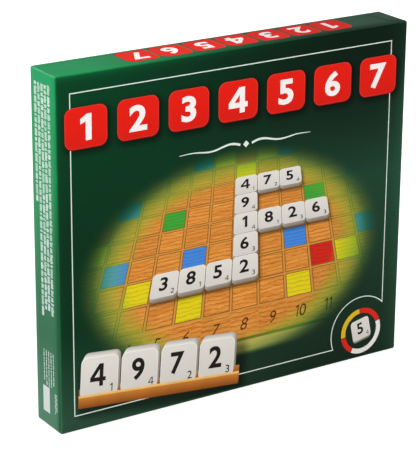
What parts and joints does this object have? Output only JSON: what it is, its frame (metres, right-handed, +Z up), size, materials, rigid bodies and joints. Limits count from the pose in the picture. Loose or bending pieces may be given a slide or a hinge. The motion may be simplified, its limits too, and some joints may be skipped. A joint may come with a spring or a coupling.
{
  "type": "word board game",
  "caption": "Boxed word board game: lift-off lid over a base holding an insert tray, folding board, tile racks, letter tiles and rules leaflet.",
  "frame": {"origin": "middle of the underside of the box as it stands on its long edge", "axes": "+X along the box's width, +Y from the lid's printed front to the base's back, +Z up"},
  "size_m": [0.3, 0.035, 0.265],
  "materials": {
    "lid_greyboard": "uncoated greyboard",
    "base_greyboard": "uncoated greyboard",
    "lid_print": "printed paper, satin laminate",
    "base_paper": "printed paper, satin laminate",
    "tray_plastic": "vacuum-formed, satin",
    "leaflet_paper": "uncoated printed paper",
    "board_print": "printed paper, satin laminate",
    "board_greyboard": "uncoated greyboard",
    "board_lining_paper": "embossed paper",
    "rack_plastic": "moulded",
    "tile_plastic": "moulded, printed"
  },
  "bodies": {
    "base": {"base_panel": "base_greyboard", "base_top_wall": "base_greyboard", "base_bottom_wall": "base_greyboard", "base_left_wall": "base_greyboard", "base_right_wall": "base_greyboard", "base_wrap": "base_paper"},
    "lid": {"lid_panel": "lid_greyboard", "lid_top_wall": "lid_greyboard", "lid_bottom_wall": "lid_greyboard", "lid_left_wall": "lid_greyboard", "lid_right_wall": "lid_greyboard", "lid_wrap": "lid_print"},
    "tray": {"insert_tray": "tray_plastic"},
    "board_rear_half": {"board_rear_face": "board_print", "board_rear_core": "board_greyboard", "board_rear_lining": "board_lining_paper"},
    "board_front_half": {"board_front_face": "board_print", "board_front_core": "board_greyboard", "board_front_lining": "board_lining_paper"},
    "leaflet": {"rules_leaflet": "leaflet_paper"},
    "rack_1": {"rack_1": "rack_plastic"},
    "rack_2": {"rack_2": "rack_plastic"},
    "rack_3": {"rack_3": "rack_plastic"},
    "rack_4": {"rack_4": "rack_plastic"},
    "front_tile_layer": {"tiles_front_row_1": "tile_plastic", "tiles_front_row_2": "tile_plastic", "tiles_front_row_3": "tile_plastic", "tiles_front_row_4": "tile_plastic"},
    "rear_tile_layer": {"tiles_rear_row_1": "tile_plastic", "tiles_rear_row_2": "tile_plastic", "tiles_rear_row_3": "tile_plastic", "tiles_rear_row_4": "tile_plastic"}
  },
  "joints": [
    {"name": "lid_lift", "type": "slide", "parent": "base", "child": "lid", "axis": [0, -1, 0], "range_m": [0, 0.6]},
    {"name": "tray_lift", "type": "slide", "parent": "base", "child": "tray", "axis": [0, -1, 0], "range_m": [0, 0.0421]},
    {"name": "board_lift", "type": "slide", "parent": "tray", "child": "board_rear_half", "axis": [0, -1, 0], "range_m": [0, 0.0841]},
    {"name": "leaflet_lift", "type": "slide", "parent": "tray", "child": "leaflet", "axis": [0, -1, 0], "range_m": [0, 0.0601]},
    {"name": "rack_1_lift", "type": "slide", "parent": "tray", "child": "rack_1", "axis": [0, -1, 0], "range_m": [0, 0.0361]},
    {"name": "rack_2_lift", "type": "slide", "parent": "tray", "child": "rack_2", "axis": [0, -1, 0], "range_m": [0, 0.0361]},
    {"name": "rack_3_lift", "type": "slide", "parent": "tray", "child": "rack_3", "axis": [0, -1, 0], "range_m": [0, 0.0361]},
    {"name": "rack_4_lift", "type": "slide", "parent": "tray", "child": "rack_4", "axis": [0, -1, 0], "range_m": [0, 0.0361]},
    {"name": "front_tiles_lift", "type": "slide", "parent": "tray", "child": "front_tile_layer", "axis": [0, -1, 0], "range_m": [0, 0.0481]},
    {"name": "rear_tiles_lift", "type": "slide", "parent": "tray", "child": "rear_tile_layer", "axis": [0, -1, 0], "range_m": [0, 0.0241]},
    {"name": "board_fold", "type": "hinge", "parent": "board_rear_half", "child": "board_front_half", "pos_m": [0, -0.0129, 0.25311], "axis": [-1, 0, 0], "range_deg": [0, 180]}
  ],
  "couplings": [
    {"joint": "tray_lift", "follows": "lid_lift", "ratio": 0.07},
    {"joint": "board_lift", "follows": "lid_lift", "ratio": 0.14},
    {"joint": "leaflet_lift", "follows": "lid_lift", "ratio": 0.1},
    {"joint": "rack_1_lift", "follows": "lid_lift", "ratio": 0.06},
    {"joint": "rack_2_lift", "follows": "lid_lift", "ratio": 0.06},
    {"joint": "rack_3_lift", "follows": "lid_lift", "ratio": 0.06},
    {"joint": "rack_4_lift", "follows": "lid_lift", "ratio": 0.06},
    {"joint": "front_tiles_lift", "follows": "lid_lift", "ratio": 0.08},
    {"joint": "rear_tiles_lift", "follows": "lid_lift", "ratio": 0.04},
    {"joint": "board_fold", "follows": "lid_lift", "rad_per_m": 5.236}
  ]
}
